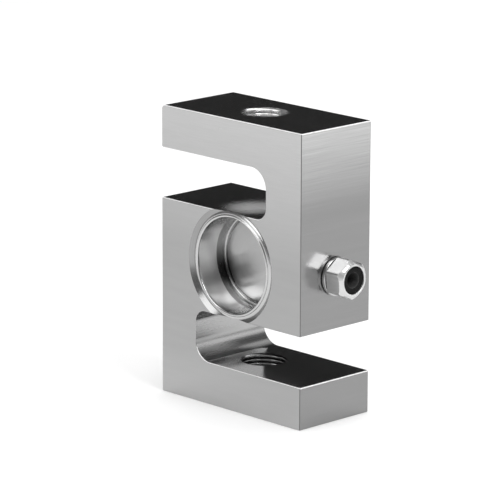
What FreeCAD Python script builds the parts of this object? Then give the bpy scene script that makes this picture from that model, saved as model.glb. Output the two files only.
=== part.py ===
import FreeCAD, Part
import math
import os

os.makedirs("parts", exist_ok=True)

Vec = FreeCAD.Vector

# S type load cell. Millimetres, +Z up, load axis on Z, front face towards -Y, cable gland towards +X.
# The origin is the centre of the lower threaded hole on the underside of the foot.

# Block
block_width = 76.2
block_depth = 37.0
block_height = 114.3
arm_thickness = block_height * 167 / 1143
slot_height = block_height * 197.5 / 1143
slot_end = 19.15
arm_corner_radius = 8.0
core_corner_radius = 5.0
broken_edge = 0.45
top_end_edge = 1.7
outline_edge = 0.4
load_thread_radius = 9.525

# Gauge cavities, one on each side of the web
web_thickness = 3.6
cavity_wall = 1.5
cavity_radius = block_height / 2 - arm_thickness - slot_height - cavity_wall
cavity_depth = (block_depth - web_thickness) / 2
cavity_root_radius = 1.0
recess_outer_radius = cavity_radius + 3.7
recess_inner_radius = cavity_radius + 1.8
recess_depth = 1.3

# Cover cups
cup_sheet = 0.4
cup_side_gap = 0.2
cup_web_gap = 1.7
cup_inner_radius = cavity_radius - cup_side_gap - cup_sheet
cup_lip_radius = cup_inner_radius + 1.3
cup_lip_height = 0.8
cup_floor_depth = cavity_depth - cup_web_gap - cup_sheet
cup_groove_depth = cup_floor_depth + 0.4
cup_step_depth = cup_floor_depth - 4.0
cup_disc_radius = cup_inner_radius - 2.2
cup_foot_radius = cup_inner_radius - 0.25
cup_foot_fillet = 0.8

# Weld bead beside the cup lip
bead_rise = 0.45

# Strain gauges
film_length = 5.2
film_width = 3.6
film_thickness = 0.08
foil_thickness = 0.04
gauge_spacing = 6.8
gauge_angle = 45.0
strand_count = 6
strand_length = 2.6
strand_width = 0.2
strand_pitch = 0.36
tab_size = 0.8
tab_offset = 1.2

# Terminal boards
board_length = 7.4
board_width = 10.4
board_thickness = 0.4
board_start = 7.7
gauge_pad_x = 9.2
gauge_pad_z = (3.3, 1.1, -1.1, -3.3)
lead_pad_x = 13.5
lead_pad_z = 1.3
link_pad_z = 3.9
pad_radius = 0.6
pad_height = 0.5
chip_length = 3.2
chip_width = 1.6
chip_height = 0.5
chip_x = 11.4

# Wires
gauge_wire_radius = 0.12
lead_wire_radius = 0.25
link_wire_radius = 0.2

# Wire passage and sealed header
gland_hole_depth = 9.0
passage_radius = 3.5
passage_end = cavity_radius - 1.7
header_length = 3.0
header_start = block_width / 2 - gland_hole_depth - header_length - 2.1
header_wall = 0.8
pin_radius = 0.3
pin_circle = 1.5
pin_inner_end = header_start - 1.0
pin_outer_end = header_start + header_length + 2.8

# Cable gland, measured along X from the right face
gland_thread_radius = 6.0
gland_spigot_length = gland_hole_depth - 0.5
washer_thickness = 0.4
washer_radius = 7.2
flange_radius = 7.5
flange_thickness = 1.3
flange_edge = 0.25
neck_radius = gland_thread_radius - 0.1
neck_end = 6.0
gland_bore_radius = neck_radius - 1.7
seat_radius = neck_radius - 0.9
seat_depth = 0.8
nut_start = 1.9
nut_end = 10.0
nut_across_flats = 14.0
nut_corner_radius = 7.9
nut_turn = 7.0
nut_front_round = 1.7
nut_rear_radius = 6.4
nut_mouth_radius = neck_radius - 0.6
nut_mouth_edge = 0.25
nut_shoulder = 8.0
seal_hole_radius = 3.0
seal_tail_start = 2.5
seal_collar_end = 7.5
seal_nose_end = 9.3
thread_clearance = 0.05
slide_clearance = 0.1

# Derived places
right_face = block_width / 2
front_face = -block_depth / 2
core_low = arm_thickness + slot_height
core_high = block_height - arm_thickness - slot_height
mid_height = block_height / 2
web_face = web_thickness / 2


def roundedWire(corners):
    """Closed outline through (x, z, radius) corners, each corner with a tangent arc."""
    points = [Vec(x, 0, z) for x, z, r in corners]
    radii = [r for x, z, r in corners]
    count = len(points)
    starts = []
    ends = []
    arcs = []
    for i in range(count):
        here = points[i]
        back = (points[i - 1] - here).normalize()
        ahead = (points[(i + 1) % count] - here).normalize()
        half_angle = back.getAngle(ahead) / 2
        reach = radii[i] / math.tan(half_angle)
        starts.append(here + back * reach)
        ends.append(here + ahead * reach)
        middle = (back + ahead).normalize()
        centre = here + middle * (radii[i] / math.sin(half_angle))
        arcs.append(Part.Arc(starts[i], centre - middle * radii[i], ends[i]).toShape())
    edges = []
    for i in range(count):
        edges.append(arcs[i])
        edges.append(Part.LineSegment(ends[i], starts[(i + 1) % count]).toShape())
    return Part.Wire(edges)


def turned(outline):
    """Solid of revolution about Z. A pair of points in the outline is an arc: middle, end."""
    def at(point):
        return Vec(point[0], 0, point[1])
    edges = []
    here = outline[0]
    for step in outline[1:] + [outline[0]]:
        if isinstance(step[0], tuple):
            edges.append(Part.Arc(at(here), at(step[0]), at(step[1])).toShape())
            here = step[1]
        elif step != here:
            edges.append(Part.LineSegment(at(here), at(step)).toShape())
            here = step
    return Part.Face(Part.Wire(edges)).revolve(Vec(0, 0, 0), Vec(0, 0, 1), 360)


def intoFront(shape):
    """Lay a turned shape down so that its +Z points from the front face into the block."""
    laid = shape.copy()
    laid.rotate(Vec(0, 0, 0), Vec(1, 0, 0), -90)
    laid.translate(Vec(0, front_face, mid_height))
    return laid


def alongGland(shape):
    """Lay a turned shape down so that its +Z points out of the right face."""
    laid = shape.copy()
    laid.rotate(Vec(0, 0, 0), Vec(0, 1, 0), 90)
    laid.translate(Vec(right_face, 0, mid_height))
    return laid


def toRear(shape):
    turned_round = shape.copy()
    return turned_round.mirror(Vec(0, 0, 0), Vec(0, 1, 0))


def box(x0, x1, y0, y1, z0, z1):
    return Part.makeBox(x1 - x0, y1 - y0, z1 - z0, Vec(x0, y0, z0))


def wireAlong(points, radius):
    """Round wire along straight runs joined by tangent arcs."""
    edges = []
    here = points[0]
    for i in range(1, len(points) - 1):
        corner = points[i]
        back = (points[i - 1] - corner)
        ahead = (points[i + 1] - corner)
        shorter = min(back.Length, ahead.Length)
        back.normalize()
        ahead.normalize()
        reach = 0.45 * shorter
        half_angle = back.getAngle(ahead) / 2
        bend = reach * math.tan(half_angle)
        middle = (back + ahead).normalize()
        centre = corner + middle * (bend / math.sin(half_angle))
        arc_start = corner + back * reach
        arc_end = corner + ahead * reach
        edges.append(Part.LineSegment(here, arc_start).toShape())
        edges.append(Part.Arc(arc_start, centre - middle * bend, arc_end).toShape())
        here = arc_end
    edges.append(Part.LineSegment(here, points[-1]).toShape())
    spine = Part.Wire(edges)
    along = (points[1] - points[0]).normalize()
    ring = Part.Wire([Part.makeCircle(radius, points[0], along)])
    return spine.makePipeShell([ring], True, False)


def place(x, y, z):
    """Point given by its height above or below the middle of the block."""
    return Vec(x, y, mid_height + z)


# Body: S outline, extruded, all outline edges broken
s_outline = roundedWire([
    (-right_face, 0, broken_edge),
    (right_face, 0, broken_edge),
    (right_face, arm_thickness, broken_edge),
    (-slot_end, arm_thickness, arm_corner_radius),
    (-slot_end, core_low, core_corner_radius),
    (right_face, core_low, broken_edge),
    (right_face, block_height, broken_edge),
    (-right_face, block_height, top_end_edge),
    (-right_face, block_height - arm_thickness, broken_edge),
    (slot_end, block_height - arm_thickness, arm_corner_radius),
    (slot_end, core_high, core_corner_radius),
    (-right_face, core_high, broken_edge),
])
s_body = Part.Face(s_outline).extrude(Vec(0, block_depth, 0))
s_body.translate(Vec(0, front_face, 0))
outline_edges = []
for edge in s_body.Edges:
    ends = [v.Point.y for v in edge.Vertexes]
    if max(ends) - min(ends) < 0.001:
        outline_edges.append(edge)
s_body = s_body.makeFillet(outline_edge, outline_edges)

# Load threads through both arms
for arm_bottom in (0, block_height - arm_thickness):
    hole = Part.makeCylinder(load_thread_radius, arm_thickness + 2, Vec(0, 0, arm_bottom - 1))
    s_body = s_body.cut(hole)

# Cavities: conical recess, flat seat for the cup lip, bore down to the web
run_out = 0.5
recess_slope = (recess_outer_radius - recess_inner_radius) / recess_depth
root_side = cavity_root_radius * math.sin(math.radians(45))
root_centre = (cavity_radius - cavity_root_radius, cavity_depth - cavity_root_radius)
cavity = intoFront(turned([
    (0, -run_out),
    (recess_outer_radius + recess_slope * run_out, -run_out),
    (recess_inner_radius, recess_depth),
    (cavity_radius, recess_depth),
    (cavity_radius, cavity_depth - cavity_root_radius),
    ((root_centre[0] + root_side, root_centre[1] + root_side), (root_centre[0], cavity_depth)),
    (0, cavity_depth),
]))
s_body = s_body.cut(cavity).cut(toRear(cavity))

# Gland hole and wire passage in the right leg
gland_hole = alongGland(Part.makeCylinder(gland_thread_radius, gland_hole_depth + 1))
gland_hole.translate(Vec(-gland_hole_depth, 0, 0))
passage_length = right_face - passage_end
passage = Part.makeCylinder(passage_radius, passage_length, place(passage_end, 0, 0), Vec(1, 0, 0))
s_body = s_body.cut(gland_hole).cut(passage)

# Cover cup, drawn from sheet: rolled lip, straight wall, groove round a raised disc
lip_half = (cup_lip_radius - cup_inner_radius - 0.1) / 2
lip_centre = (cup_lip_radius - lip_half, recess_depth - cup_lip_height + lip_half)
lip_inner = cup_lip_radius - 2 * lip_half
wall_outer = cup_inner_radius + cup_sheet
fillet_side = math.sin(math.radians(45))
foot_centre = (cup_foot_radius - cup_foot_fillet, cup_groove_depth - cup_foot_fillet)
back_fillet = cup_foot_fillet + cup_sheet
cup = intoFront(turned([
    (0, cup_floor_depth),
    (cup_disc_radius, cup_floor_depth),
    ((cup_disc_radius + 0.38, cup_floor_depth + 0.1), (cup_disc_radius + 0.7, cup_groove_depth - 0.1)),
    (cup_disc_radius + 0.9, cup_groove_depth),
    (foot_centre[0], cup_groove_depth),
    ((foot_centre[0] + cup_foot_fillet * fillet_side, foot_centre[1] + cup_foot_fillet * fillet_side),
     (cup_foot_radius, foot_centre[1])),
    (cup_inner_radius, cup_step_depth),
    (cup_inner_radius, lip_centre[1] + 0.5),
    (lip_inner, lip_centre[1]),
    ((lip_centre[0], lip_centre[1] - lip_half), (cup_lip_radius, lip_centre[1])),
    (cup_lip_radius, recess_depth),
    (wall_outer, recess_depth),
    (wall_outer, cup_step_depth),
    (cup_foot_radius + cup_sheet, foot_centre[1]),
    ((foot_centre[0] + back_fillet * fillet_side, foot_centre[1] + back_fillet * fillet_side),
     (foot_centre[0], cup_groove_depth + cup_sheet)),
    (cup_disc_radius + 0.7, cup_groove_depth + cup_sheet),
    (cup_disc_radius, cup_floor_depth + cup_sheet),
    (0, cup_floor_depth + cup_sheet),
]))

# Weld bead from the recess seat up to the lip, dressed flush where the slots cut across it
bead_ring = intoFront(turned([
    (cup_lip_radius, recess_depth),
    (cup_lip_radius, recess_depth - bead_rise),
    ((0.45 * cup_lip_radius + 0.55 * recess_inner_radius, recess_depth - 0.62 * bead_rise),
     (recess_inner_radius, recess_depth)),
]))
between_slots = box(-recess_outer_radius, recess_outer_radius, front_face, 0, core_low, core_high)
weld_bead = bead_ring.common(between_slots)

# Strain gauges, two on each side of the web, crossed at 45 degrees
strands = []
for i in range(strand_count):
    across = (i - (strand_count - 1) / 2) * strand_pitch
    strands.append(box(-strand_length / 2, strand_length / 2, -foil_thickness, 0,
                       across - strand_width / 2, across + strand_width / 2))
for i in range(strand_count - 1):
    low = (i - (strand_count - 1) / 2) * strand_pitch - strand_width / 2
    side = 1 if i % 2 else -1
    loop_start = side * strand_length / 2
    loop_end = loop_start + side * strand_width
    strands.append(box(min(loop_start, loop_end), max(loop_start, loop_end), -foil_thickness, 0,
                       low, low + strand_pitch + strand_width))
for side in (1, -1):
    tab_low = side * tab_offset - tab_size / 2
    strands.append(box(strand_length / 2, strand_length / 2 + tab_size, -foil_thickness, 0,
                       tab_low, tab_low + tab_size))
grid = strands[0]
for strand in strands[1:]:
    grid = grid.fuse(strand)
grid = grid.removeSplitter()
film = box(-film_length / 2, film_length / 2, -film_thickness, 0, -film_width / 2, film_width / 2)
film_face = web_face + film_thickness
foil_face = film_face + foil_thickness
films = {}
grids = {}
for name, side in (("left", -1), ("right", 1)):
    turn = side * gauge_angle
    for shape, face, store in ((film, web_face, films), (grid, film_face, grids)):
        gauge = shape.copy()
        gauge.rotate(Vec(0, 0, 0), Vec(0, 1, 0), turn)
        gauge.translate(place(side * gauge_spacing / 2, -face, 0))
        store[name] = gauge

# Terminal board with its solder joints, chip and wires
board_face = web_face + board_thickness
board = box(board_start, board_start + board_length, -board_face, -web_face,
            mid_height - board_width / 2, mid_height + board_width / 2)
chip = box(chip_x - chip_width / 2, chip_x + chip_width / 2, -board_face - chip_height, -board_face,
           mid_height - chip_length / 2, mid_height + chip_length / 2)


def tabPoint(side, tab):
    """Middle of one solder tab in the plane of the web, as x and height."""
    along = strand_length / 2 + tab_size / 2
    across = tab * tab_offset
    turn = math.radians(-side * gauge_angle)
    x = side * gauge_spacing / 2 + along * math.cos(turn) - across * math.sin(turn)
    z = along * math.sin(turn) + across * math.cos(turn)
    return x, z


wire_level = board_face + pad_height / 2
gauge_wires = []
tab_level = foil_face + gauge_wire_radius
ends = (tabPoint(-1, 1), tabPoint(-1, -1), tabPoint(1, 1), tabPoint(1, -1))
for (x, z), pad_z in zip(ends, gauge_pad_z):
    run_x = gauge_pad_x - x
    run_z = pad_z - z
    gauge_wires.append(wireAlong([
        place(x - 0.05 * run_x, -tab_level, z - 0.05 * run_z),
        place(x + 0.1 * run_x, -tab_level, z + 0.1 * run_z),
        place(x + 0.35 * run_x, -wire_level, z + 0.35 * run_z),
        place(gauge_pad_x, -wire_level, pad_z),
    ], gauge_wire_radius))

pin_side = pin_circle * math.sin(math.radians(45))
lead_bend = pin_inner_end - 0.4 * (pin_inner_end - passage_end)
front_leads = []
for up in (1, -1):
    front_leads.append(wireAlong([
        place(pin_inner_end, -pin_side, up * pin_side),
        place(lead_bend, -pin_side, up * pin_side),
        place(passage_end + 0.9, -wire_level, up * lead_pad_z),
        place(lead_pad_x - 0.2, -wire_level, up * lead_pad_z),
    ], lead_wire_radius))

link_wires = []
cross_x = passage_end + 0.85
cross_y = 2.1
cross_z = 2.2
for up in (1, -1):
    link_wires.append(wireAlong([
        place(lead_pad_x - 0.2, -wire_level, up * link_pad_z),
        place(lead_pad_x + 2.6, -wire_level, up * link_pad_z),
        place(cross_x, -cross_y, up * cross_z),
        place(cross_x, cross_y, up * cross_z),
        place(lead_pad_x + 2.6, wire_level, up * link_pad_z),
        place(lead_pad_x - 0.2, wire_level, up * link_pad_z),
    ], link_wire_radius))

pad_places = [(gauge_pad_x, z) for z in gauge_pad_z]
pad_places += [(lead_pad_x, up * z) for up in (1, -1) for z in (lead_pad_z, link_pad_z)]
joints = []
for x, z in pad_places:
    dome = Part.makeCone(pad_radius, pad_radius * 0.45, pad_height, place(x, -board_face, z), Vec(0, -1, 0))
    for wire in gauge_wires + front_leads + link_wires:
        dome = dome.cut(wire)
    joints.append(dome)

# Sealed header in the passage
shell_inner = passage_radius - header_wall
header_axis = place(header_start, 0, 0)
header_shell = Part.makeCylinder(passage_radius, header_length, header_axis, Vec(1, 0, 0)).cut(
    Part.makeCylinder(shell_inner, header_length, header_axis, Vec(1, 0, 0)))
header_glass = Part.makeCylinder(shell_inner, header_length, header_axis, Vec(1, 0, 0))
header_pins = []
for y in (-pin_side, pin_side):
    for z in (-pin_side, pin_side):
        pin = Part.makeCylinder(pin_radius, pin_outer_end - pin_inner_end, place(pin_inner_end, y, z), Vec(1, 0, 0))
        header_glass = header_glass.cut(pin)
        header_pins.append(pin)

# Cable gland: body with flange and neck, face washer, seal, slip washer, cap nut
flange_start = washer_thickness
flange_end = flange_start + flange_thickness
spigot_radius = gland_thread_radius - thread_clearance
gland_body = alongGland(turned([
    (gland_bore_radius, -gland_spigot_length),
    (spigot_radius - 0.4, -gland_spigot_length),
    (spigot_radius, 0.4 - gland_spigot_length),
    (spigot_radius, flange_start),
    (flange_radius - flange_edge, flange_start),
    (flange_radius, flange_start + flange_edge),
    (flange_radius, flange_end - flange_edge),
    (flange_radius - flange_edge, flange_end),
    (neck_radius, flange_end),
    (neck_radius, neck_end - 0.3),
    (neck_radius - 0.3, neck_end),
    (seat_radius, neck_end),
    (gland_bore_radius, neck_end - seat_depth),
]))
face_washer = alongGland(turned([
    (spigot_radius, 0),
    (washer_radius, 0),
    (washer_radius, washer_thickness),
    (spigot_radius, washer_thickness),
]))
collar_radius = neck_radius - thread_clearance
nose_radius = nut_mouth_radius - slide_clearance
tail_radius = gland_bore_radius - thread_clearance
gland_seal = alongGland(turned([
    (seal_hole_radius, seal_tail_start),
    (tail_radius - 0.2, seal_tail_start),
    (tail_radius, seal_tail_start + 0.2),
    (tail_radius, neck_end - seat_depth),
    (seat_radius - thread_clearance, neck_end),
    (collar_radius, neck_end),
    (collar_radius, seal_collar_end),
    (nose_radius, seal_collar_end),
    (nose_radius, seal_nose_end - 0.3),
    ((nose_radius - 0.09, seal_nose_end - 0.09), (nose_radius - 0.3, seal_nose_end)),
    (seal_hole_radius + 0.3, seal_nose_end),
    ((seal_hole_radius + 0.09, seal_nose_end - 0.09), (seal_hole_radius, seal_nose_end - 0.3)),
]))
slip_washer = alongGland(turned([
    (nose_radius + thread_clearance, seal_collar_end),
    (collar_radius, seal_collar_end),
    (collar_radius, nut_shoulder),
    (nose_radius + thread_clearance, nut_shoulder),
]))
nut_bore = neck_radius + thread_clearance
rear_cone = nut_corner_radius - nut_rear_radius
round_side = nut_front_round * math.sin(math.radians(45))
round_centre = (nut_corner_radius - nut_front_round, nut_end - nut_front_round)
nut_blank = turned([
    (nut_bore, nut_start),
    (nut_rear_radius, nut_start),
    (nut_corner_radius, nut_start + rear_cone),
    (nut_corner_radius, round_centre[1]),
    ((round_centre[0] + round_side, round_centre[1] + round_side), (round_centre[0], nut_end)),
    (nut_mouth_radius + nut_mouth_edge, nut_end),
    (nut_mouth_radius, nut_end - nut_mouth_edge),
    (nut_mouth_radius, nut_shoulder),
    (nut_bore, nut_shoulder),
])
hexagon_radius = nut_across_flats / 2 / math.cos(math.radians(30))
hexagon_corners = []
for i in range(7):
    angle = math.radians(60 * i + nut_turn)
    hexagon_corners.append(Vec(hexagon_radius * math.cos(angle), hexagon_radius * math.sin(angle), 0))
hexagon = Part.Face(Part.makePolygon(hexagon_corners)).extrude(Vec(0, 0, nut_end + 1))
cap_nut = alongGland(nut_blank.common(hexagon))

nodes = {
    "s_body": s_body,
    "front_cup": cup,
    "rear_cup": toRear(cup),
    "front_weld_bead": weld_bead,
    "rear_weld_bead": toRear(weld_bead),
    "front_left_gauge_film": films["left"],
    "front_right_gauge_film": films["right"],
    "rear_left_gauge_film": toRear(films["left"]),
    "rear_right_gauge_film": toRear(films["right"]),
    "front_left_gauge_grid": grids["left"],
    "front_right_gauge_grid": grids["right"],
    "rear_left_gauge_grid": toRear(grids["left"]),
    "rear_right_gauge_grid": toRear(grids["right"]),
    "front_terminal_board": board,
    "rear_terminal_board": toRear(board),
    "front_solder_joints": Part.makeCompound(joints),
    "rear_solder_joints": toRear(Part.makeCompound(joints)),
    "front_gauge_wires": Part.makeCompound(gauge_wires),
    "rear_gauge_wires": toRear(Part.makeCompound(gauge_wires)),
    "header_lead_wires": Part.makeCompound(front_leads + [toRear(lead) for lead in front_leads]),
    "bridge_link_wires": Part.makeCompound(link_wires),
    "front_span_resistor": chip,
    "rear_zero_resistor": toRear(chip),
    "header_shell": header_shell,
    "header_glass": header_glass,
    "header_pins": Part.makeCompound(header_pins),
    "gland_body": gland_body,
    "gland_face_washer": face_washer,
    "gland_seal": gland_seal,
    "gland_slip_washer": slip_washer,
    "gland_cap_nut": cap_nut,
}
for name, shape in nodes.items():
    shape.exportStep("parts/" + name + ".step")
    print(name, round(shape.Volume, 3), shape.isValid(), len(shape.Solids))
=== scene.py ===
import math
import bpy
import bmesh
from mathutils import Matrix, Vector


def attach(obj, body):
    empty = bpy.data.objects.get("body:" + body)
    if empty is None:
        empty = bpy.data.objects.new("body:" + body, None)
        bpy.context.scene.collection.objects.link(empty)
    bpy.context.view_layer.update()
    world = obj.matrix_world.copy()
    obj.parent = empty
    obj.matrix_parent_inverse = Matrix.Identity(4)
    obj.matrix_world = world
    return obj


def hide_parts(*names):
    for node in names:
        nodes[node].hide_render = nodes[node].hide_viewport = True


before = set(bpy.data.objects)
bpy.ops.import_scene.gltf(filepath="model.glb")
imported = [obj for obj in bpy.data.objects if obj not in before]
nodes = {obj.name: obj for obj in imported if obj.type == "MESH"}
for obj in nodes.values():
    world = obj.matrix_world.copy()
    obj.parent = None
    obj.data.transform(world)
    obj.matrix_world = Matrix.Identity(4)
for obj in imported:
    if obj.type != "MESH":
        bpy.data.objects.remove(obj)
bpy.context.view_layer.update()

scene = bpy.context.scene
mm = 0.001
fullTurn = 2 * math.pi

# the block's own sizes, in millimetres, as in the solids
block = {
    "width": 76.2,
    "depth": 37.0,
    "height": 114.3,
    "arm": 16.7,
    "slot": 19.75,
    "slotEnd": 19.15,
    "armRound": 8.0,
    "coreRound": 5.0,
    "edge": 0.45,
    "topEdge": 1.7,
    "faceEdge": 0.4,
    "threadRadius": 9.525,
    "recessOuter": 22.9,
    "recessInner": 21.0,
    "recessDepth": 1.3,
    "cavityRadius": 19.2,
    "cavityDepth": 16.7,
    "cavityRound": 1.0,
    "glandHole": 6.0,
    "glandHoleDepth": 9.0,
    "passage": 3.5,
    "passageEnd": 17.5,
}
midHeight = block["height"] / 2
rightFace = block["width"] / 2
frontFace = -block["depth"] / 2

# how far the cutters reach past what they cut, in millimetres
overcut = 1
halfOvercut = 0.5

# turned shapes are drawn about Z, then laid into the front face or along the gland
intoFront = Matrix.Translation((0, frontFace, midHeight)) @ Matrix.Rotation(math.radians(-90), 4, "X")
alongGland = Matrix.Translation((rightFace, 0, midHeight)) @ Matrix.Rotation(math.radians(90), 4, "Y")
upright = Matrix.Identity(4)
toRear = Matrix.Scale(-1, 4, (0, 1, 0))

# camera, matched to the photo's square frame

camera = {
    "place": (0.938142, -0.917215, 0.383186),
    "turn": 45.902,
    "tilt": 13.817,
    "roll": 0.193,
    "lens": 253.9,
    "sensor": 36.0,
}


def makeCamera():
    data = bpy.data.cameras.new("view")
    data.lens = camera["lens"]
    data.sensor_width = camera["sensor"]
    data.clip_start = 0.05
    data.clip_end = 20.0
    seen = bpy.data.objects.new("view", data)
    scene.collection.objects.link(seen)
    turn = Matrix.Rotation(math.radians(camera["turn"]), 4, "Z")
    tilt = Matrix.Rotation(math.radians(90 - camera["tilt"]), 4, "X")
    roll = Matrix.Rotation(math.radians(camera["roll"]), 4, "Z")
    seen.matrix_world = Matrix.Translation(camera["place"]) @ turn @ tilt @ roll
    scene.camera = seen


makeCamera()
scene.view_settings.view_transform = "Standard"
print("camera ready")

# stage: pale floor, low backdrop, soft lamps

stage = {
    "floorRadius": 3.4,
    "wallRadius": 3.6,
    "wallHeight": 0.42,
    "wallStart": 0.03,
    "wallSlope": 0.1,
    "floorTone": 0.8,
    "glow": 0.18,
    "worldTone": 0.25,
    # direction, distance, side lengths, watts
    "lamps": {
        "frontLamp": ((-0.12, -0.77, 0.62), 1.9, (0.9, 1.0), 8),
        "keyLamp": ((0.40, -0.42, 0.81), 1.9, (0.7, 0.7), 5),
        "rightLamp": ((0.70, -0.05, 0.72), 1.9, (0.75, 0.75), 14),
        "overheadLamp": ((-0.2, 0.26, 0.95), 1.9, (2.2, 2.2), 30),
        "fillLamp": ((0.70, -0.68, 0.13), 2.0, (1.6, 0.45), 1.0),
        "rearLamp": ((0.69, 0.67, 0.27), 2.2, (1.7, 0.65), 4.8),
    },
    # a black card behind, which the block's upward faces mirror: direction, distance, width, height
    "card": ((-0.66, 0.64, 0.34), 3.0, 4.6, 1.7),
    "cardTone": 0.05,
}


def makeCard():
    way, distance, width, height = stage["card"]
    bm = bmesh.new()
    bmesh.ops.create_grid(bm, x_segments=1, y_segments=1, size=0.5)
    bmesh.ops.scale(bm, vec=(width, height, 1), verts=bm.verts)
    away = Vector(way).normalized()
    turned = away.to_track_quat("Z", "Y").to_matrix().to_4x4()
    bmesh.ops.transform(bm, matrix=Matrix.Translation(away * distance) @ turned, verts=bm.verts)
    mesh = bpy.data.meshes.new("darkCard")
    bm.to_mesh(mesh)
    bm.free()
    card = bpy.data.objects.new("darkCard", mesh)
    scene.collection.objects.link(card)
    mat = bpy.data.materials.new("blackCard")
    mat.use_nodes = True
    shader = mat.node_tree.nodes["Principled BSDF"]
    shader.inputs["Base Color"].default_value = (stage["cardTone"],) * 3 + (1,)
    shader.inputs["Roughness"].default_value = 1.0
    shader.inputs["Specular IOR Level"].default_value = 0.0
    mesh.materials.append(mat)


def makeStage():
    bm = bmesh.new()
    spots = [
        (0, 0),
        (stage["floorRadius"], 0),
        (stage["wallRadius"], stage["wallStart"]),
        (stage["wallRadius"] + stage["wallSlope"], stage["wallHeight"]),
    ]
    line = [bm.verts.new((r, 0, z)) for r, z in spots]
    for a, b in zip(line, line[1:]):
        bm.edges.new((a, b))
    bmesh.ops.spin(bm, geom=bm.verts[:] + bm.edges[:], cent=(0, 0, 0), axis=(0, 0, 1),
                   angle=fullTurn, steps=96, use_merge=True)
    bmesh.ops.remove_doubles(bm, verts=bm.verts, dist=1e-6)
    bmesh.ops.recalc_face_normals(bm, faces=bm.faces)
    mesh = bpy.data.meshes.new("floor")
    bm.to_mesh(mesh)
    bm.free()
    floor = bpy.data.objects.new("floor", mesh)
    scene.collection.objects.link(floor)

    mat = bpy.data.materials.new("paleFloor")
    mat.use_nodes = True
    tree = mat.node_tree
    shader = tree.nodes["Principled BSDF"]
    shader.inputs["Base Color"].default_value = (stage["floorTone"],) * 3 + (1,)
    shader.inputs["Roughness"].default_value = 0.9
    shader.inputs["Specular IOR Level"].default_value = 0.0
    glow = tree.nodes.new("ShaderNodeEmission")
    glow.inputs["Strength"].default_value = stage["glow"]
    both = tree.nodes.new("ShaderNodeAddShader")
    tree.links.new(shader.outputs[0], both.inputs[0])
    tree.links.new(glow.outputs[0], both.inputs[1])
    rays = tree.nodes.new("ShaderNodeLightPath")
    seen = mathNode(tree, "MAXIMUM", rays.outputs["Is Camera Ray"], rays.outputs["Is Glossy Ray"])
    seen = mathNode(tree, "MAXIMUM", seen, rays.outputs["Is Transmission Ray"])
    choose = tree.nodes.new("ShaderNodeMixShader")
    tree.links.new(seen, choose.inputs[0])
    tree.links.new(shader.outputs[0], choose.inputs[1])
    tree.links.new(both.outputs[0], choose.inputs[2])
    tree.links.new(choose.outputs[0], tree.nodes["Material Output"].inputs["Surface"])
    mesh.materials.append(mat)

    for name, (way, distance, sides, watts) in stage["lamps"].items():
        data = bpy.data.lights.new(name, "AREA")
        data.shape = "RECTANGLE"
        data.size, data.size_y = sides
        data.energy = watts
        lamp = bpy.data.objects.new(name, data)
        scene.collection.objects.link(lamp)
        away = Vector(way).normalized()
        turned = away.to_track_quat("Z", "Y").to_matrix().to_4x4()
        lamp.matrix_world = Matrix.Translation(away * distance + Vector((0, 0, midHeight * mm))) @ turned

    world = bpy.data.worlds.new("studio")
    world.use_nodes = True
    back = world.node_tree.nodes["Background"]
    back.inputs["Color"].default_value = (1, 1, 1, 1)
    back.inputs["Strength"].default_value = stage["worldTone"]
    scene.world = world


# small helpers for the finishes


def linkOrSet(tree, socket, value):
    if isinstance(value, (int, float, tuple)):
        socket.default_value = value
    else:
        tree.links.new(value, socket)


def mathNode(tree, operation, *values):
    made = tree.nodes.new("ShaderNodeMath")
    made.operation = operation
    for i, value in enumerate(values):
        linkOrSet(tree, made.inputs[i], value)
    return made.outputs[0]


def vectorNode(tree, operation, *values):
    made = tree.nodes.new("ShaderNodeVectorMath")
    made.operation = operation
    for i, value in enumerate(values):
        linkOrSet(tree, made.inputs[i], value)
    return made.outputs["Value" if operation == "LENGTH" else "Vector"]


def noiseNode(tree, vector, size, detail=3.0, rough=0.5):
    made = tree.nodes.new("ShaderNodeTexNoise")
    tree.links.new(vector, made.inputs["Vector"])
    linkOrSet(tree, made.inputs["Scale"], size)
    made.inputs["Detail"].default_value = detail
    made.inputs["Roughness"].default_value = rough
    return made.outputs["Fac"]


def spreadNode(tree, value, low, high, newLow=0.0, newHigh=1.0):
    made = tree.nodes.new("ShaderNodeMapRange")
    made.clamp = True
    limits = {"Value": value, "From Min": low, "From Max": high, "To Min": newLow, "To Max": newHigh}
    for label, number in limits.items():
        linkOrSet(tree, made.inputs[label], number)
    return made.outputs["Result"]


def mixColour(tree, amount, first, second, mode="MIX"):
    made = tree.nodes.new("ShaderNodeMix")
    made.data_type = "RGBA"
    made.blend_type = mode
    linkOrSet(tree, made.inputs["Factor"], amount)
    linkOrSet(tree, made.inputs["A"], first)
    linkOrSet(tree, made.inputs["B"], second)
    return made.outputs["Result"]


def newGroup(name, inputs, outputs):
    group = bpy.data.node_groups.new(name, "ShaderNodeTree")
    for label, value in inputs:
        kind = "NodeSocketVector" if value is None or isinstance(value, tuple) else "NodeSocketFloat"
        socket = group.interface.new_socket(name=label, in_out="INPUT", socket_type=kind)
        if value is not None:
            socket.default_value = value
    for label in outputs:
        group.interface.new_socket(name=label, in_out="OUTPUT", socket_type="NodeSocketFloat")
    return group, group.nodes.new("NodeGroupInput").outputs, group.nodes.new("NodeGroupOutput").inputs


makeStage()
makeCard()
print("stage ready")

# effects that several finishes share


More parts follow.
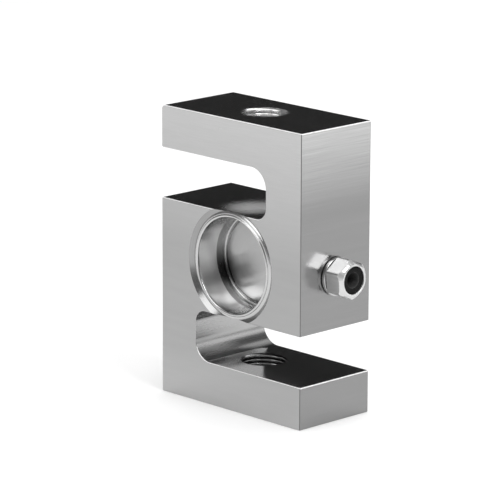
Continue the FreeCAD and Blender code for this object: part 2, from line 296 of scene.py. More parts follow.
def makeGrindLines():
    # long fine scratches across a wide soft banding; Stretch gives how often they change along X, Y and Z
    group, given, out = newGroup("grindLines", [("Vector", None), ("Stretch", (60.0, 60.0, 3000.0))],
                                 ["Lines", "Bands"])
    drawn = vectorNode(group, "MULTIPLY", given["Vector"], given["Stretch"])
    fine = noiseNode(group, drawn, 1.0, detail=4.0, rough=0.65)
    coarse = noiseNode(group, vectorNode(group, "MULTIPLY", drawn, (0.4, 0.4, 0.12)), 1.0, detail=2.0)
    group.links.new(spreadNode(group, fine, 0.3, 0.7), out["Lines"])
    group.links.new(spreadNode(group, coarse, 0.3, 0.7), out["Bands"])
    return group


def makeTurnedRings():
    # tool marks round an axis; Plane is 1 in the two directions across the axis
    group, given, out = newGroup("turnedRings", [("Vector", None), ("Plane", (1.0, 0.0, 1.0)), ("Scale", 4000.0)],
                                 ["Rings", "Bands"])
    flat = vectorNode(group, "MULTIPLY", given["Vector"], given["Plane"])
    reach = vectorNode(group, "LENGTH", flat)
    join = group.nodes.new("ShaderNodeCombineXYZ")
    group.links.new(reach, join.inputs[0])
    wobble = vectorNode(group, "MULTIPLY", given["Vector"], (0.02, 0.02, 0.02))
    drawn = vectorNode(group, "ADD", join.outputs[0], wobble)
    fine = noiseNode(group, drawn, given["Scale"], detail=3.0, rough=0.6)
    wide = noiseNode(group, drawn, mathNode(group, "MULTIPLY", given["Scale"], 0.12), detail=2.0)
    group.links.new(spreadNode(group, fine, 0.3, 0.7), out["Rings"])
    group.links.new(spreadNode(group, wide, 0.3, 0.7), out["Bands"])
    return group


def makeSpecks():
    # scattered grains of dust; Size is how many cells stand in a metre, Share how many of them hold a grain
    group, given, out = newGroup("specks", [("Vector", None), ("Size", 700.0), ("Share", 0.3), ("Reach", 0.16)],
                                 ["Mask"])
    cells = group.nodes.new("ShaderNodeTexVoronoi")
    group.links.new(given["Vector"], cells.inputs["Vector"])
    group.links.new(given["Size"], cells.inputs["Scale"])
    parts = group.nodes.new("ShaderNodeSeparateColor")
    group.links.new(cells.outputs["Color"], parts.inputs[0])
    near = mathNode(group, "LESS_THAN", cells.outputs["Distance"],
                    mathNode(group, "MULTIPLY", given["Reach"], parts.outputs[1]))
    chosen = mathNode(group, "LESS_THAN", parts.outputs[0], given["Share"])
    group.links.new(mathNode(group, "MULTIPLY", near, chosen), out["Mask"])
    return group


def makeEdgeWear():
    # 1 on a sharp corner, falling to 0 a little way off it; it lightens edges, partly as wear and partly as a
    # painted highlight
    group, given, out = newGroup("edgeWearAndHighlight", [("Vector", None), ("Width", 0.0004), ("Break", 900.0)], ["Mask"])
    softened = group.nodes.new("ShaderNodeBevel")
    softened.samples = 4
    group.links.new(given["Width"], softened.inputs["Radius"])
    plain = group.nodes.new("ShaderNodeNewGeometry")
    turn = group.nodes.new("ShaderNodeVectorMath")
    turn.operation = "DOT_PRODUCT"
    group.links.new(softened.outputs[0], turn.inputs[0])
    group.links.new(plain.outputs["Normal"], turn.inputs[1])
    edge = spreadNode(group, turn.outputs["Value"], 0.98, 0.8)
    patchy = noiseNode(group, given["Vector"], given["Break"], detail=2.0)
    group.links.new(mathNode(group, "MULTIPLY", edge, spreadNode(group, patchy, 0.3, 0.6)), out["Mask"])
    return group


grindLines = makeGrindLines()
turnedRings = makeTurnedRings()
specks = makeSpecks()
edgeWearAndHighlight = makeEdgeWear()


def useGroup(tree, group, **values):
    made = tree.nodes.new("ShaderNodeGroup")
    made.node_tree = group
    for label, value in values.items():
        linkOrSet(tree, made.inputs[label], value)
    return made.outputs


def pickFinish(name, centre=(0, 0, 0)):
    # a new material with Object coordinates, centred on the piece's own axis
    mat = bpy.data.materials.new(name)
    mat.use_nodes = True
    tree = mat.node_tree
    spot = tree.nodes.new("ShaderNodeTexCoord")
    middle = tree.nodes.new("ShaderNodeMapping")
    middle.inputs["Location"].default_value = tuple(-c * mm for c in centre)
    tree.links.new(spot.outputs["Object"], middle.inputs["Vector"])
    return mat, tree, tree.nodes["Principled BSDF"], middle.outputs[0]


def bumpOn(tree, shader, height, distance):
    made = tree.nodes.new("ShaderNodeBump")
    made.inputs["Strength"].default_value = 1.0
    made.inputs["Distance"].default_value = distance
    tree.links.new(height, made.inputs["Height"])
    tree.links.new(made.outputs[0], shader.inputs["Normal"])


def heightOf(tree, spot):
    parts = tree.nodes.new("ShaderNodeSeparateXYZ")
    tree.links.new(spot, parts.inputs[0])
    return parts.outputs[2]


def greyOf(tree, value):
    join = tree.nodes.new("ShaderNodeCombineColor")
    for i in range(3):
        tree.links.new(value, join.inputs[i])
    return join.outputs[0]


# what the finishes share
surface = {
    "faintLines": 0.18,  # how clear the grinding lines stay away from the clearer upper end
    "paintedFootReach": 20.0,  # height over which the foot's sides are lighter, as painted light
    "patchCore": 0.2,  # share of a patch's reach that is blurred and painted in full
    "dustReach": 0.3,  # size of a grain against its cell
    "dustCover": 0.2,  # how far a grain hides the metal
    "dustBlur": 0.6,
    "cloudEnds": (0.32, 0.68),  # the part of the noise that the two tones of a plain finish span
    "cloudRough": 0.15,
}


def metalFinish(name, tone, rough, stretch=None, plane=None, ringScale=4000.0, centre=(0, 0, 0), lineTone=0.1,
                bandTone=0.08, lineRough=0.06, bump=1e-6, dust=0.0, dustSize=700.0, wearAndHighlight=0.0, clearTopAndPaintedLight=None,
                blurAndPaintedLightPatches=(), paintedShadeBelow=None, tint=(1, 1, 1)):
    mat, tree, shader, spot = pickFinish(name, centre)
    if stretch:
        marks = useGroup(tree, grindLines, Vector=spot, Stretch=stretch)
        lines, bands = marks["Lines"], marks["Bands"]
    else:
        marks = useGroup(tree, turnedRings, Vector=spot, Plane=plane, Scale=ringScale)
        lines, bands = marks["Rings"], marks["Bands"]
    if clearTopAndPaintedLight:
        # the grinding lines grow clearer towards the upper end
        start, end, paintedTopGain, paintedFootGain = clearTopAndPaintedLight
        height = heightOf(tree, spot)
        rise = spreadNode(tree, height, start * mm, end * mm)
        faint = surface["faintLines"]
        clear = mathNode(tree, "MULTIPLY_ADD", rise, 1.0 - faint, faint)
        lines = mathNode(tree, "MULTIPLY_ADD", mathNode(tree, "SUBTRACT", lines, 0.5), clear, 0.5)
    lineShare = mathNode(tree, "MULTIPLY_ADD", lines, lineTone, 1.0 - lineTone / 2)
    bandShare = mathNode(tree, "MULTIPLY_ADD", bands, bandTone, 1.0 - bandTone / 2)
    shade = mathNode(tree, "MULTIPLY", mathNode(tree, "MULTIPLY", lineShare, bandShare), tone)
    blur = mathNode(tree, "MULTIPLY_ADD", lines, lineRough, rough - lineRough / 2)
    # painted light: the upper end and the foot are made lighter
    if clearTopAndPaintedLight:
        low = spreadNode(tree, height, 0.0, surface["paintedFootReach"] * mm, paintedFootGain, 0.0)
        gain = mathNode(tree, "ADD", mathNode(tree, "MULTIPLY_ADD", rise, paintedTopGain, 1.0), low)
        shade = mathNode(tree, "MULTIPLY", shade, gain)
    if paintedShadeBelow:
        # painted shade: darker low down, by how much is left at the bottom
        bottom, top, left = paintedShadeBelow
        kept = spreadNode(tree, heightOf(tree, spot), bottom * mm, top * mm, left, 1.0)
        shade = mathNode(tree, "MULTIPLY", shade, kept)
    for place, reach, blurGain, paintedLightGain in blurAndPaintedLightPatches:
        # a rougher patch with painted light or shade: its centre, its reach, how much it blurs, and how much it
        # lightens (painted light) or darkens (painted shade)
        away = vectorNode(tree, "LENGTH", vectorNode(tree, "SUBTRACT", spot, tuple(v * mm for v in place)))
        patchShare = spreadNode(tree, away, surface["patchCore"] * reach * mm, reach * mm, 1.0, 0.0)
        blur = mathNode(tree, "MULTIPLY_ADD", patchShare, blurGain, blur)
        shade = mathNode(tree, "MULTIPLY", shade, mathNode(tree, "MULTIPLY_ADD", patchShare, paintedLightGain, 1.0))
    # edges made lighter: worn metal and a painted edge highlight
    if wearAndHighlight:
        wornAndLit = useGroup(tree, edgeWearAndHighlight, Vector=spot)["Mask"]
        shade = mathNode(tree, "MULTIPLY_ADD", wornAndLit, wearAndHighlight, shade)
    metal = 1.0
    if dust:
        grains = useGroup(tree, specks, Vector=spot, Share=dust, Size=dustSize, Reach=surface["dustReach"])["Mask"]
        grains = mathNode(tree, "MULTIPLY", grains, surface["dustCover"])
        blur = mathNode(tree, "MULTIPLY_ADD", grains, surface["dustBlur"], blur)
        metal = mathNode(tree, "SUBTRACT", 1.0, grains)
    tree.links.new(mixColour(tree, 1.0, greyOf(tree, shade), tint + (1,), "MULTIPLY"), shader.inputs["Base Color"])
    tree.links.new(blur, shader.inputs["Roughness"])
    linkOrSet(tree, shader.inputs["Metallic"], metal)
    bumpOn(tree, shader, lines, bump)
    return mat


def plainFinish(name, low, high, rough, size, bump, stretch=(1, 1, 1), **sockets):
    # plastic, rubber, fibre, glass: two tones mixed by a fine noise, with a little relief
    mat, tree, shader, spot = pickFinish(name)
    cloud = noiseNode(tree, vectorNode(tree, "MULTIPLY", spot, stretch), size, detail=4.0)
    share = spreadNode(tree, cloud, *surface["cloudEnds"])
    colour = mixColour(tree, share, low + (1,), high + (1,))
    blur = mathNode(tree, "MULTIPLY_ADD", share, surface["cloudRough"], rough - surface["cloudRough"] / 2)
    tree.links.new(colour, shader.inputs["Base Color"])
    tree.links.new(blur, shader.inputs["Roughness"])
    for label, value in sockets.items():
        shader.inputs[label.replace("_", " ")].default_value = value
    bumpOn(tree, shader, share, bump)
    return mat


middle = (0, 0, midHeight)
finishes = {
    # front and end faces: painted light at the upper end and at the foot
    "frontSteel": metalFinish("frontSteel", 0.37, 0.3, stretch=(120.0, 120.0, 3600.0), lineTone=0.09, bandTone=0.03,
                              lineRough=0.06, bump=5e-7, wearAndHighlight=0.35, clearTopAndPaintedLight=(60, 114, 0.5, 0.2)),
    # the end faces: the front's steel made darker, as painted shade
    "shadedSideSteel": metalFinish("shadedSideSteel", 0.27, 0.21, stretch=(26.0, 26.0, 3600.0), lineTone=0.45, bandTone=0.05,
                             lineRough=0.08, bump=8e-7, wearAndHighlight=0.35, clearTopAndPaintedLight=(84, 116, 0.95, 0.05)),
    # painted highlight: the edge rounds are nearly white
    "rimHighlightSteel": metalFinish("rimHighlightSteel", 0.97, 0.7, stretch=(300.0, 300.0, 300.0), lineTone=0.15, bandTone=0.1),
    # painted shade: the vertical corner rounds are dark
    "cornerShadeSteel": metalFinish("cornerShadeSteel", 0.17, 0.4, stretch=(60.0, 60.0, 3000.0), lineTone=0.2, bandTone=0.05),
    # slot walls: painted shade, darker low down
    "slotSteel": metalFinish("slotSteel", 0.44, 0.28, stretch=(45.0, 20.0, 900.0), lineTone=0.1, bandTone=0.08,
                             lineRough=0.08, bump=1e-6, wearAndHighlight=0.2, paintedShadeBelow=(17.0, 24.0, 0.22)),
    "underSteel": metalFinish("underSteel", 0.85, 0.2, stretch=(28.0, 2400.0, 28.0), lineTone=0.1, bump=4e-7),
    # painted light: lighter patches on the ledge by its round and on the foot's top
    "mirrorSteel": metalFinish("mirrorSteel", 0.45, 0.13, stretch=(28.0, 2400.0, 28.0), lineTone=0.1, lineRough=0.03,
                               bump=2e-7, dust=0.6, dustSize=1500.0,
                               blurAndPaintedLightPatches=[((-1, -4, 77.85), 15, 0.5, 0.55), ((-15, -2, 16.7), 13, 0.25, 0.25)]),
    "turnedSteel": metalFinish("turnedSteel", 0.3, 0.19, plane=(1.0, 0.0, 1.0), centre=middle, ringScale=5000.0,
                               bump=6e-7),
    "boredSteel": metalFinish("boredSteel", 0.45, 0.3, plane=(1.0, 0.0, 1.0), centre=middle, ringScale=3000.0),
    # one thread steel in two tones: painted light in the upper hole, painted shade in the foot's hole
    "litThreadSteel": metalFinish("litThreadSteel", 0.75, 0.2, plane=(1.0, 1.0, 0.0), ringScale=5000.0, bump=6e-7),
    "shadedThreadSteel": metalFinish("shadedThreadSteel", 0.28, 0.2, plane=(1.0, 1.0, 0.0), ringScale=5000.0, bump=6e-7),
    # one pressed sheet in three tones: the light wall and the darker deep band and disc are painted light and shade,
    # and their dark patches are painted shade
    "cupSteel": metalFinish("cupSteel", 0.93, 0.18, plane=(1.0, 0.0, 1.0), centre=middle, ringScale=3500.0,
                            lineTone=0.06, bandTone=0.1, lineRough=0.04, bump=2.5e-7,
                            blurAndPaintedLightPatches=[((-12.0, -11.0, 15.0), 7, 0.1, -0.45)]),
    "shadedBandSteel": metalFinish("shadedBandSteel", 0.42, 0.22, plane=(1.0, 0.0, 1.0), centre=middle, ringScale=3500.0,
                              lineTone=0.2, bandTone=0.2, lineRough=0.05, bump=3e-7,
                              blurAndPaintedLightPatches=[((-17.0, -5.9, -7.0), 11, 0.05, -0.85)]),
    "discSteel": metalFinish("discSteel", 0.39, 0.3, plane=(1.0, 0.0, 1.0), centre=middle, ringScale=3500.0,
                             lineTone=0.06, bandTone=0.05, lineRough=0.04, bump=2.5e-7,
                             blurAndPaintedLightPatches=[((-15.0, -3.9, -4.5), 6, 0.05, -0.5)]),
    # painted highlight: a bright patch on the bead and lip at the upper right
    "beadSteel": metalFinish("beadSteel", 0.52, 0.16, plane=(1.0, 0.0, 1.0), centre=middle, ringScale=2500.0,
                             bump=5e-7, blurAndPaintedLightPatches=[((11.0, -17.4, 17.0), 8, 0.25, 0.8)]),
    "nutMetal": metalFinish("nutMetal", 0.64, 0.35, plane=(0.0, 1.0, 1.0), centre=middle, ringScale=3500.0,
                            lineTone=0.1, bump=4e-7, wearAndHighlight=0.15),
    "glandMetal": metalFinish("glandMetal", 0.6, 0.3, plane=(0.0, 1.0, 1.0), centre=middle, ringScale=3000.0,
                              bump=5e-7, wearAndHighlight=0.1),
    "headerSteel": metalFinish("headerSteel", 0.5, 0.3, plane=(0.0, 1.0, 1.0), centre=middle, ringScale=3000.0),
    "pinMetal": metalFinish("pinMetal", 0.8, 0.25, stretch=(4000.0, 60.0, 60.0), tint=(1.0, 0.86, 0.55)),
    "jointSolder": metalFinish("jointSolder", 0.6, 0.32, stretch=(1800.0, 1800.0, 1800.0), lineTone=0.25, bump=8e-6),
    "foilMetal": metalFinish("foilMetal", 0.62, 0.35, stretch=(3000.0, 200.0, 3000.0), tint=(1.0, 0.93, 0.82)),
    "sealRubber": plainFinish("sealRubber", (0.006, 0.006, 0.006), (0.016, 0.016, 0.016), 0.6, 1500.0, 4e-5,
                              Specular_IOR_Level=0.08),
    # painted light: the seal's hole is lined with lighter rubber against its shade
    "litBoreRubber": plainFinish("litBoreRubber", (0.045, 0.045, 0.045), (0.07, 0.07, 0.07), 0.75, 1500.0, 4e-5,
                              Specular_IOR_Level=0.15),
    "washerFibre": plainFinish("washerFibre", (0.03, 0.03, 0.03), (0.06, 0.06, 0.06), 0.7, 2500.0, 1e-5,
                               stretch=(0.2, 1, 1)),
    "slipNylon": plainFinish("slipNylon", (0.7, 0.69, 0.66), (0.8, 0.79, 0.76), 0.42, 800.0, 4e-6),
    "gaugeFilm": plainFinish("gaugeFilm", (0.42, 0.2, 0.05), (0.52, 0.27, 0.08), 0.3, 1500.0, 3e-6, Coat_Weight=0.4),
    "boardLaminate": plainFinish("boardLaminate", (0.05, 0.16, 0.09), (0.1, 0.24, 0.13), 0.45, 2600.0, 6e-6,
                                 stretch=(1, 1, 0.3)),
    "wireEnamel": plainFinish("wireEnamel", (0.3, 0.08, 0.03), (0.45, 0.15, 0.06), 0.28, 1800.0, 3e-6),
    "leadJacket": plainFinish("leadJacket", (0.5, 0.02, 0.02), (0.62, 0.05, 0.04), 0.5, 1500.0, 4e-6),
    "linkJacket": plainFinish("linkJacket", (0.02, 0.02, 0.02), (0.05, 0.05, 0.05), 0.5, 1500.0, 4e-6),
    "chipCeramic": plainFinish("chipCeramic", (0.02, 0.02, 0.025), (0.05, 0.05, 0.055), 0.4, 1400.0, 5e-6),
    "headerGlass": plainFinish("headerGlass", (0.02, 0.05, 0.08), (0.05, 0.1, 0.15), 0.12, 600.0, 2e-6,
                               Coat_Weight=0.5),
}
print("finishes ready:", len(finishes))

# small helpers for the pieces


def showPiece(bm, name, place, slotName, finishNames, standsFor=(), mirrored=False):
    # brings the mesh to metres and to its place, closes it up, and puts it on the object
    bmesh.ops.transform(bm, matrix=place, verts=bm.verts)
    if mirrored:
        bmesh.ops.transform(bm, matrix=toRear, verts=bm.verts)
    bmesh.ops.scale(bm, vec=(mm, mm, mm), verts=bm.verts)
    bmesh.ops.remove_doubles(bm, verts=bm.verts, dist=2e-7)
    bmesh.ops.recalc_face_normals(bm, faces=bm.faces)
    mesh = bpy.data.meshes.new(name)
    bm.to_mesh(mesh)
    bm.free()
    piece = bpy.data.objects.new(name, mesh)
    scene.collection.objects.link(piece)
    for label in finishNames:
        mesh.materials.append(finishes[label])
    if slotName:
        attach(piece, "root")
    if standsFor:
        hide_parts(*standsFor)
    return piece


def softenShading(piece, angle=28):
    # smooth across the rounds, crisp at the corners, and flats kept flat
    mesh = piece.data
    bm = bmesh.new()
    bm.from_mesh(mesh)
    limit = math.radians(angle)
    for face in bm.faces:
        face.smooth = True
    for edge in bm.edges:
        edge.smooth = len(edge.link_faces) == 2 and edge.calc_face_angle(0) < limit
    bm.to_mesh(mesh)
    bm.free()
    weigh = piece.modifiers.new("flats", "WEIGHTED_NORMAL")
    weigh.weight = 100
    weigh.keep_sharp = True


def roundEdges(bm, edges, rounding, segments):
    bmesh.ops.bevel(bm, geom=edges, offset=rounding, offset_type="OFFSET", segments=segments, profile=0.5,
                    affect="EDGES", material=-1, clamp_overlap=False)


def lathe(bm, corners, steps=128, closed=True):
    # each corner is radius, height, round, segments of the round
    line = [bm.verts.new((c[0], 0, c[1])) for c in corners]
    joins = [bm.edges.new(pair) for pair in zip(line, line[1:])]
    if closed:
        joins.append(bm.edges.new((line[-1], line[0])))
    bmesh.ops.spin(bm, geom=line + joins, cent=(0, 0, 0), axis=(0, 0, 1), angle=fullTurn, steps=steps,
                   use_merge=True)
    bmesh.ops.remove_doubles(bm, verts=bm.verts, dist=1e-5)
    bmesh.ops.recalc_face_normals(bm, faces=bm.faces)
    for corner in corners:
        if len(corner) < 3:
            continue
        radius, height, rounding, segments = corner
        ring = [e for e in bm.edges if all(abs(v.co.z - height) < 1e-4 and abs(v.co.xy.length - radius) < 1e-3
                                           for v in e.verts)]
        roundEdges(bm, ring, rounding, segments)


def trimBetween(bm, low, high):
    # cuts off what lies below and above two levels, and closes the cut
    for level, way in ((low, -1), (high, 1)):
        bmesh.ops.bisect_plane(bm, geom=bm.verts[:] + bm.edges[:] + bm.faces[:], plane_co=(0, 0, level),
                               plane_no=(0, 0, way), clear_outer=True, dist=1e-6)
        bmesh.ops.holes_fill(bm, edges=[e for e in bm.edges if e.is_boundary], sides=0)


def cutWith(piece, cutters, operation="DIFFERENCE"):
    # runs the Booleans and keeps their result as the piece's own mesh
    for cutter in cutters:
        step = piece.modifiers.new("cut", "BOOLEAN")
        step.operation = operation
        step.solver = "EXACT"
        step.object = cutter
    bpy.context.view_layer.update()
    shaped = bpy.data.meshes.new_from_object(piece.evaluated_get(bpy.context.evaluated_depsgraph_get()))
    piece.modifiers.clear()
    shaped.name = piece.name
    piece.data = shaped
    for cutter in cutters:
        bpy.data.objects.remove(cutter)


# the S block

core = {"low": block["arm"] + block["slot"], "high": block["height"] - block["arm"] - block["slot"]}


def makeCutter(name, place, corners=None, radius=None, low=0, high=0, mirrored=False):
    # a turned shape from its corners, or a plain bar of one radius
    bm = bmesh.new()
    if corners:
        lathe(bm, corners, closed=False)
    else:
        bmesh.ops.create_cone(bm, cap_ends=True, segments=96, radius1=radius, radius2=radius, depth=high - low,
                              matrix=Matrix.Translation((0, 0, (low + high) / 2)))
    return showPiece(bm, name, place, None, [], mirrored=mirrored)


# how much a face of the block turns towards X, Y or Z decides its finish; some finishes are lit and shaded copies of
# one steel, which is painted light and shade
sorting = {
    "level": 0.98,
    "rimTilt": (0.25, 0.95),
    "rimFront": -0.25,
    "slope": 0.4,
    "upright": 0.5,
    "corner": 0.3,
    "rearCorner": 0.1,
    "sideBand": 0.5,  # millimetres in from the ends that still count as the ends
    "slack": 0.01,
}


def sortFace(x, y, z, turn):
    b, s = block, sorting
    fromAxis = math.hypot(x, z - midHeight)
    inArm = z < b["arm"] + 0.1 or z > b["height"] - b["arm"] - 0.1
    inHole = inArm and math.hypot(x, y) < b["threadRadius"] + s["slack"]
    deep = abs(frontFace) - abs(y)
    atEnd = abs(x) > rightFace - s["sideBand"]
    # painted light on the upper hole's thread, painted shade on the foot's
    if inHole and abs(turn.z) < s["upright"]:
        return "litThreadSteel" if z > midHeight else "shadedThreadSteel"
    if fromAxis < b["cavityRadius"] + 0.02 and deep > b["recessDepth"] + s["slack"]:
        return "boredSteel"
    if fromAxis < b["recessOuter"] + s["slack"] and deep > s["slack"] and abs(turn.y) > s["slope"]:
        return "turnedSteel"
    if abs(turn.z) > s["level"]:
        return "mirrorSteel" if turn.z > 0 else "underSteel"
    # the edge rounds get a near-white finish: painted highlight
    if s["rimTilt"][0] < turn.z < s["rimTilt"][1] and (turn.y < s["rimFront"] or x > rightFace - s["sideBand"]):
        return "rimHighlightSteel"
    # the vertical corner rounds get a dark finish: painted shade
    if min(abs(turn.x), abs(turn.y)) > (s["corner"] if y < 0 else s["rearCorner"]) and atEnd:
        return "cornerShadeSteel"
    if abs(turn.y) > s["upright"]:
        return "frontSteel"
    # the end faces get a darker copy of the ground steel: painted shade
    return "shadedSideSteel" if atEnd else "slotSteel"


def makeBlock():
    b = block
    corners = [
        (-rightFace, 0, b["edge"], 3),
        (rightFace, 0, b["edge"], 3),
        (rightFace, b["arm"], b["edge"], 3),
        (-b["slotEnd"], b["arm"], b["armRound"], 20),
        (-b["slotEnd"], core["low"], b["coreRound"], 16),
        (rightFace, core["low"], b["edge"], 3),
        (rightFace, b["height"], b["edge"], 3),
        (-rightFace, b["height"], b["topEdge"], 6),
        (-rightFace, b["height"] - b["arm"], b["edge"], 3),
        (b["slotEnd"], b["height"] - b["arm"], b["armRound"], 20),
        (b["slotEnd"], core["high"], b["coreRound"], 16),
        (-rightFace, core["high"], b["edge"], 3),
    ]
    bm = bmesh.new()
    outline = bm.faces.new([bm.verts.new((x, frontFace, z)) for x, z, r, n in corners])
    grown = bmesh.ops.extrude_face_region(bm, geom=[outline])
    moved = [v for v in grown["geom"] if isinstance(v, bmesh.types.BMVert)]
    bmesh.ops.translate(bm, vec=(0, b["depth"], 0), verts=moved)
    bmesh.ops.recalc_face_normals(bm, faces=bm.faces)
    for x, z, r, n in corners:
        through = [e for e in bm.edges if all(abs(v.co.x - x) < 1e-4 and abs(v.co.z - z) < 1e-4 for v in e.verts)]
        roundEdges(bm, through, r, n)
    rims = [e for e in bm.edges if abs(e.verts[0].co.y - e.verts[1].co.y) < 1e-4]
    roundEdges(bm, rims, b["faceEdge"], 5)
    finishNames = ["frontSteel", "shadedSideSteel", "rimHighlightSteel", "cornerShadeSteel", "slotSteel", "underSteel", "mirrorSteel",
                   "turnedSteel", "boredSteel", "litThreadSteel", "shadedThreadSteel"]
    piece = showPiece(bm, "s_block", upright, "body_steel", finishNames, ("s_body",))

    slope = (b["recessOuter"] - b["recessInner"]) / b["recessDepth"]
    hollow = [
        (0, -halfOvercut),
        (b["recessOuter"] + halfOvercut * slope, -halfOvercut),
        (b["recessInner"], b["recessDepth"]),
        (b["cavityRadius"], b["recessDepth"]),
        (b["cavityRadius"], b["cavityDepth"], b["cavityRound"], 5),
        (0, b["cavityDepth"]),
    ]
    cutWith(piece, [
        makeCutter("frontHollow", intoFront, hollow),
        makeCutter("rearHollow", intoFront, hollow, mirrored=True),
        makeCutter("footHole", upright, radius=b["threadRadius"], low=-overcut, high=b["arm"] + overcut),
        makeCutter("topHole", upright, radius=b["threadRadius"], low=b["height"] - b["arm"] - overcut,
                   high=b["height"] + overcut),
        makeCutter("glandHole", alongGland, radius=b["glandHole"], low=-b["glandHoleDepth"], high=overcut),
        makeCutter("passage", alongGland, radius=b["passage"], low=b["passageEnd"] - rightFace, high=0),
    ])

    mesh = piece.data
    mesh.materials.clear()
    for label in finishNames:
        mesh.materials.append(finishes[label])
    for face in mesh.polygons:
        x, y, z = (c / mm for c in face.center)
        face.material_index = finishNames.index(sortFace(x, y, z, face.normal))
    softenShading(piece)


makeBlock()
print("block ready")

# load threads, cut as a helix inside each arm

thread = {
    "pitch": 1.5875,
    "major": 9.545,
    "minor": 8.66,
    "steps": 48,
    # half of the rounded crest and of the root: how far out, and how far along
    "crest": [(0.0, 0.0), (0.04, 0.15), (0.15, 0.31), (0.38, 0.48)],
    "root": [(-0.18, 0.63), (0.0, 0.73)],
}


def makeThread(name, finishName, low, high):
    pitch = thread["pitch"]
    turns = math.ceil((high - low) / pitch) + 3
    upper = [(thread["minor"] + out, along) for out, along in thread["crest"]]
    upper += [(thread["major"] + out, along) for out, along in thread["root"]]
    section = [(r, -z) for r, z in upper[:0:-1]] + upper
    bm = bmesh.new()
    line = [bm.verts.new((r, 0, low - 1.5 * pitch + z)) for r, z in section]
    joins = [bm.edges.new((line[i], line[i - 1])) for i in range(len(line))]
    bmesh.ops.spin(bm, geom=line + joins, cent=(0, 0, 0), axis=(0, 0, 1), angle=turns * fullTurn,
                   steps=turns * thread["steps"], dvec=(0, 0, pitch / thread["steps"]))
    trimBetween(bm, low, high)
    piece = showPiece(bm, name, upright, "body_steel", [finishName])
    softenShading(piece, 50)


# the foot's thread takes painted shade, the upper thread painted light
makeThread("foot_load_thread", "shadedThreadSteel", 0.0, block["arm"])
makeThread("top_load_thread", "litThreadSteel", block["height"] - block["arm"], block["height"])
print("threads ready")

# cover cups, pressed from sheet, and the bead round each lip

cup = {
    "sheet": 0.4,
    "inner": 18.6,
    "lip": 19.9,
    "lipInner": 18.7,
    "lipTop": 0.5,
    "lipRound": 0.58,
    "neckTop": 1.2,
    "neckEnd": 1.7,
    "seat": 1.3,
    "step": 10.6,
    "stepRound": 0.12,
    "floor": 14.6,
    "groove": 15.0,
    "grooveRound": 0.3,
    "disc": 16.4,
    "discRound": 0.35,
    "discSlope": 0.9,
    "backSlope": 0.7,
    "foot": 18.35,
    "footRound": 0.8,
    "footDraft": 0.02,
    "footLift": 0.9,
}
bead = {"seat": 1.3, "lipEdge": 0.85, "lipRound": 0.06, "crown": 20.5, "crownTop": 0.98, "crownRound": 0.3}


def makeCup(name, node, mirrored):
    c = cup
    outer = c["inner"] + c["sheet"]
    corners = [
        (0, c["floor"]),
        (c["disc"], c["floor"], c["discRound"], 4),
        (c["disc"] + c["discSlope"], c["groove"], c["grooveRound"], 4),
        (c["foot"], c["groove"], c["footRound"], 8),
        (c["foot"] + c["footDraft"], c["groove"] - c["footLift"]),
        (c["inner"], c["step"], c["stepRound"], 2),
        (c["inner"], c["neckEnd"]),
        (c["lipInner"], c["neckTop"]),
        (c["lipInner"], c["lipTop"], c["lipRound"], 8),
        (c["lip"], c["lipTop"], c["lipRound"], 8),
        (c["lip"], c["seat"]),
        (outer, c["seat"]),
        (outer, c["step"]),
        (c["foot"] + c["sheet"], c["groove"] + c["sheet"], c["footRound"] + c["sheet"], 6),
        (c["disc"] + c["backSlope"], c["groove"] + c["sheet"]),
        (c["disc"], c["floor"] + c["sheet"]),
        (0, c["floor"] + c["sheet"]),
    ]
    bm = bmesh.new()
    lathe(bm, corners, closed=False)
    finishNames = ["cupSteel", "shadedBandSteel", "discSteel", "beadSteel"]
    piece = showPiece(bm, name, intoFront, "cup_steel", finishNames, (node,), mirrored)
    for face in piece.data.polygons:
        x, y, z = (v / mm for v in face.center)
        deep = abs(frontFace) - abs(y)
        # the deep band and the disc take the darker tones: painted shade
        if deep > c["step"]:
            label = "shadedBandSteel" if math.hypot(x, z - midHeight) > c["disc"] else "discSteel"
        else:
            label = "beadSteel" if deep < c["seat"] else "cupSteel"
        face.material_index = finishNames.index(label)
    softenShading(piece, 30)


def makeBead(name, node, mirrored):
    bm = bmesh.new()
    lathe(bm, [
        (cup["lip"], bead["seat"]),
        (cup["lip"], bead["lipEdge"], bead["lipRound"], 2),
        (bead["crown"], bead["crownTop"], bead["crownRound"], 5),
        (block["recessInner"], bead["seat"]),
    ])
    bmesh.ops.transform(bm, matrix=intoFront, verts=bm.verts)
    trimBetween(bm, core["low"], core["high"])
    piece = showPiece(bm, name, upright, "weld_steel", ["beadSteel"], (node,), mirrored)
    softenShading(piece, 30)


makeCup("front_cover_cup", "front_cup", False)
makeCup("rear_cover_cup", "rear_cup", True)
makeBead("front_lip_bead", "front_weld_bead", False)
makeBead("rear_lip_bead", "rear_weld_bead", True)
print("cups ready")

# cable gland: stem with flange, cap nut, seal

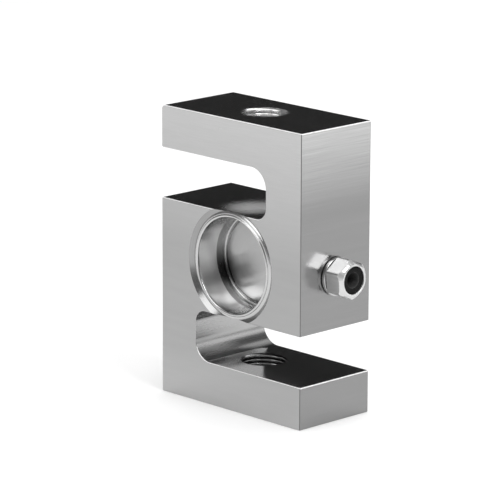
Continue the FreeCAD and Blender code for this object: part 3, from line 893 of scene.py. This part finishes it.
gland = {
    "bore": 4.2,
    "spigot": 5.95,
    "spigotEnd": -8.5,
    "spigotRound": 0.4,
    "flangeStart": 0.4,
    "flangeEnd": 1.7,
    "flange": 7.5,
    "flangeRound": 0.25,
    "neck": 5.9,
    "neckEnd": 6.0,
    "neckRound": 0.3,
    "seat": 5.0,
    "seatDepth": 0.8,
}
nut = {
    "start": 1.9,
    "end": 10.0,
    "flats": 14.0,
    "turn": 7.0,
    "frontRound": 1.35,
    "rearRound": 0.5,
    "postRound": 0.7,
    "gap": 0.05,
    "mouth": 5.3,
    "mouthDepth": 0.35,
    "mouthEdge": 0.1,
    "mouthFlare": 0.3,
    "shoulder": 8.0,
    "coneStart": 3.4,  # back from the front, where the turned cone begins
    "coneWide": 9.5,
    "coneNarrow": 5.9,
    "coneOver": 0.2,
}
seal = {
    "hole": 3.0,
    "holeSlack": 0.15,
    "tail": 4.15,
    "tailRound": 0.2,
    "tailStart": 2.5,
    "tailEnd": 5.2,
    "taper": 4.95,
    "collar": 5.85,
    "collarStart": 6.0,
    "collarEnd": 7.5,
    "nose": 5.2,
    "noseEnd": 9.3,
    "noseRound": 0.3,
}


def makeStem():
    g = gland
    bm = bmesh.new()
    lathe(bm, [
        (g["bore"], g["spigotEnd"]),
        (g["spigot"], g["spigotEnd"], g["spigotRound"], 2),
        (g["spigot"], g["flangeStart"]),
        (g["flange"], g["flangeStart"], g["flangeRound"], 3),
        (g["flange"], g["flangeEnd"], g["flangeRound"], 3),
        (g["neck"], g["flangeEnd"]),
        (g["neck"], g["neckEnd"], g["neckRound"], 2),
        (g["seat"], g["neckEnd"]),
        (g["bore"], g["neckEnd"] - g["seatDepth"]),
    ], steps=96)
    piece = showPiece(bm, "gland_stem", alongGland, "gland_metal", ["glandMetal"], ("gland_body",))
    softenShading(piece)


def makeNut():
    n = nut
    reach = n["flats"] / 2 / math.cos(math.radians(30))
    bm = bmesh.new()
    bmesh.ops.create_cone(bm, cap_ends=True, segments=6, radius1=reach, radius2=reach, depth=n["end"] - n["start"])
    bmesh.ops.translate(bm, verts=bm.verts, vec=(0, 0, (n["end"] + n["start"]) / 2))
    first = bm.verts[:][0].co
    swing = math.radians(n["turn"]) - math.atan2(first.y, first.x)
    bmesh.ops.rotate(bm, verts=bm.verts, cent=(0, 0, 0), matrix=Matrix.Rotation(swing, 3, "Z"))
    posts = [e for e in bm.edges if abs(e.verts[0].co.z - e.verts[1].co.z) > 1]
    roundEdges(bm, posts, n["postRound"], 4)
    for level, rounding, segments in ((n["end"], n["frontRound"], 8), (n["start"], n["rearRound"], 4)):
        rim = [e for e in bm.edges if all(abs(v.co.z - level) < 1e-4 for v in e.verts)]
        roundEdges(bm, rim, rounding, segments)
    piece = showPiece(bm, "gland_nut", alongGland, "nut_metal", ["nutMetal"], ("gland_cap_nut",))
    inner = gland["neck"] + n["gap"]
    cutWith(piece, [makeCutter("nutBore", alongGland, [
        (0, n["start"] - overcut),
        (inner, n["start"] - overcut),
        (inner, n["shoulder"]),
        (n["mouth"], n["shoulder"]),
        (n["mouth"], n["end"] - n["mouthDepth"]),
        (n["mouth"] + n["mouthEdge"], n["end"] - n["mouthEdge"]),
        (n["mouth"] + n["mouthFlare"], n["end"] + n["mouthEdge"]),
        (n["mouth"] + n["mouthFlare"], n["end"] + overcut),
        (0, n["end"] + overcut),
    ])])
    # the front corners are turned to a cone
    cutWith(piece, [makeCutter("nutDome", alongGland, [
        (0, n["start"] - overcut),
        (n["coneWide"], n["start"] - overcut),
        (n["coneWide"], n["end"] - n["coneStart"]),
        (n["coneNarrow"], n["end"] + n["coneOver"]),
        (0, n["end"] + n["coneOver"]),
    ])], "INTERSECT")
    softenShading(piece, 40)


def makeSeal():
    k = seal
    bm = bmesh.new()
    lathe(bm, [
        (k["hole"], k["tailStart"]),
        (k["tail"], k["tailStart"], k["tailRound"], 2),
        (k["tail"], k["tailEnd"]),
        (k["taper"], k["collarStart"]),
        (k["collar"], k["collarStart"]),
        (k["collar"], k["collarEnd"]),
        (k["nose"], k["collarEnd"]),
        (k["nose"], k["noseEnd"], k["noseRound"], 4),
        (k["hole"], k["noseEnd"], k["noseRound"], 4),
    ], steps=96)
    finishNames = ["sealRubber", "litBoreRubber"]
    piece = showPiece(bm, "gland_rubber_seal", alongGland, "seal_rubber", finishNames, ("gland_seal",))
    # the hole's wall takes the lighter rubber: painted light
    for face in piece.data.polygons:
        fromAxis = math.hypot(face.center.y, face.center.z - midHeight * mm)
        face.material_index = int(fromAxis < (k["hole"] + k["holeSlack"]) * mm)
    softenShading(piece, 30)


makeStem()
makeNut()
makeSeal()
print("gland ready")

# finishes on the pieces that stay as the solids give them

dressed = {
    "gauge_film": "gaugeFilm",
    "gauge_grid": "foilMetal",
    "terminal_board": "boardLaminate",
    "solder_joints": "jointSolder",
    "gauge_wires": "wireEnamel",
    "header_lead_wires": "leadJacket",
    "bridge_link_wires": "linkJacket",
    "resistor": "chipCeramic",
    "header_shell": "headerSteel",
    "header_glass": "headerGlass",
    "header_pins": "pinMetal",
    "gland_face_washer": "washerFibre",
    "gland_slip_washer": "slipNylon",
}
for nodeName, node in nodes.items():
    for ending, label in dressed.items():
        if nodeName.endswith(ending):
            for place in node.material_slots:
                place.material = finishes[label]
print("kept pieces dressed")
